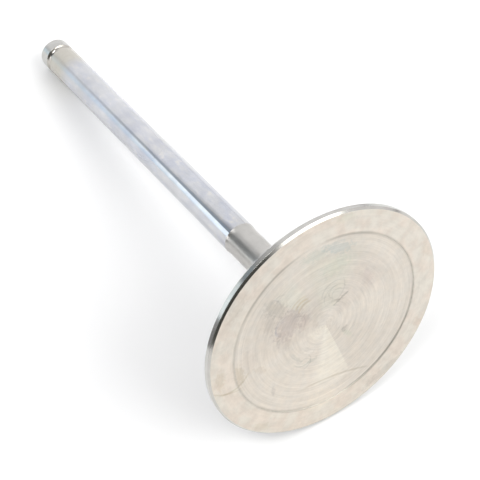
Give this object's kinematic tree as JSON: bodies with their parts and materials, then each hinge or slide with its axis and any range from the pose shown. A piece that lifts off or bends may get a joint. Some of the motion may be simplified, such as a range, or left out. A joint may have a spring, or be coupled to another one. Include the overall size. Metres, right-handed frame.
{
  "type": "engine valve",
  "caption": "Intake poppet valve: flat turned head with a conical seat, undercut neck, straight plated stem and a round keeper groove near the tip.",
  "frame": {"origin": "centre of the flat combustion face, the lowest point of the valve as it stands on its head", "axes": "+Z along the stem from the combustion face to the tip; the valve is a solid of revolution, so +X and +Y are free"},
  "size_m": [0.0572, 0.0572, 0.1258],
  "materials": {
    "steel": "fine-turned stainless steel, with a mirror-bright hard-chromed stem between the neck and the keeper groove"
  },
  "bodies": {
    "root": {"valve": "steel"}
  },
  "joints": []
}
